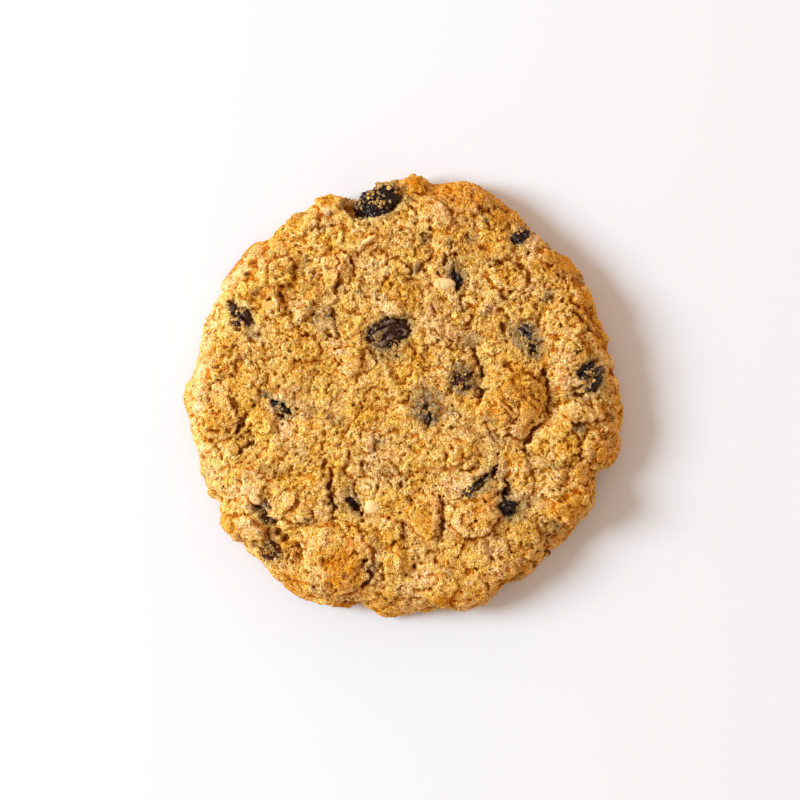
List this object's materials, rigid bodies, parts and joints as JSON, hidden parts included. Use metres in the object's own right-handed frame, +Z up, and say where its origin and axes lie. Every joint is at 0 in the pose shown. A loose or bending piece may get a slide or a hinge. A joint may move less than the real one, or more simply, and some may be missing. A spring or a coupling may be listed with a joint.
{
  "type": "oatmeal raisin cookie",
  "caption": "Round thick oatmeal raisin cookie with an uneven outline, a lumpy cracked crown and raisins set in its surface, resting on a flat base.",
  "frame": {"origin": "middle of the bounding box at the flat base, where the cookie rests", "axes": "+Z up through the cookie's thickness; +X and +Y in the plane of the base, +X to the right and +Y away when seen from above"},
  "size_m": [0.0928, 0.0924, 0.0134],
  "materials": {
    "dough": "matte baked oat dough, golden, darker on the crust",
    "raisin": "wrinkled dark skin with a soft sheen"
  },
  "bodies": {
    "root": {"cookie": "dough", "raisin_01": "raisin", "raisin_02": "raisin", "raisin_03": "raisin", "raisin_04": "raisin", "raisin_05": "raisin", "raisin_06": "raisin", "raisin_07": "raisin", "raisin_08": "raisin", "raisin_09": "raisin", "raisin_10": "raisin", "raisin_11": "raisin", "raisin_12": "raisin", "raisin_13": "raisin", "raisin_14": "raisin", "raisin_15": "raisin", "raisin_16": "raisin"}
  },
  "joints": []
}
